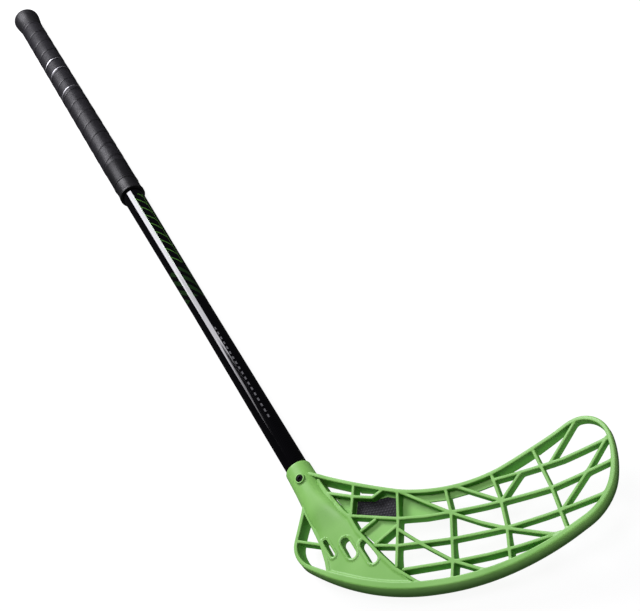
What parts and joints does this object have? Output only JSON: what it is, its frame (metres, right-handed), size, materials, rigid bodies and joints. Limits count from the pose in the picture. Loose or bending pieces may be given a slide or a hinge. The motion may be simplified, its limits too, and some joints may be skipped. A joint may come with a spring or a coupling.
{
  "type": "floorball stick",
  "caption": "Floorball stick: tapered composite tube with a wound grip and flared butt cap, and a hooked open-lattice plastic blade screwed on at its hosel.",
  "frame": {"origin": "middle of the flat end face of the butt cap, on the shaft's axis", "axes": "+X along the shaft towards the blade, +Z out of the blade's hollow face, +Y towards the blade's toe"},
  "size_m": [1.135, 0.2743, 0.0542],
  "materials": {
    "blade_plastic": "satin light green moulding",
    "insert_rubber": "dark, dotted surface",
    "shaft_lacquer": "gloss black lacquer on composite",
    "grip_tape": "matt grained tape",
    "cap_rubber": "matt",
    "band_film": "matt film",
    "plug_plastic": "plain moulding",
    "screw_black": "black oxide"
  },
  "bodies": {
    "stick": {"shaft_tube": "shaft_lacquer", "shaft_plug": "plug_plastic", "end_cap": "cap_rubber", "grip_tape": "grip_tape", "finishing_band": "band_film", "grip_end_ring": "cap_rubber", "blade": "blade_plastic", "blade_insert": "insert_rubber"},
    "screw": {"blade_screw": "screw_black"}
  },
  "joints": [
    {"name": "screw_withdraw", "type": "slide", "parent": "stick", "child": "screw", "axis": [0, 0, 1], "range_m": [0, 0.02]}
  ]
}
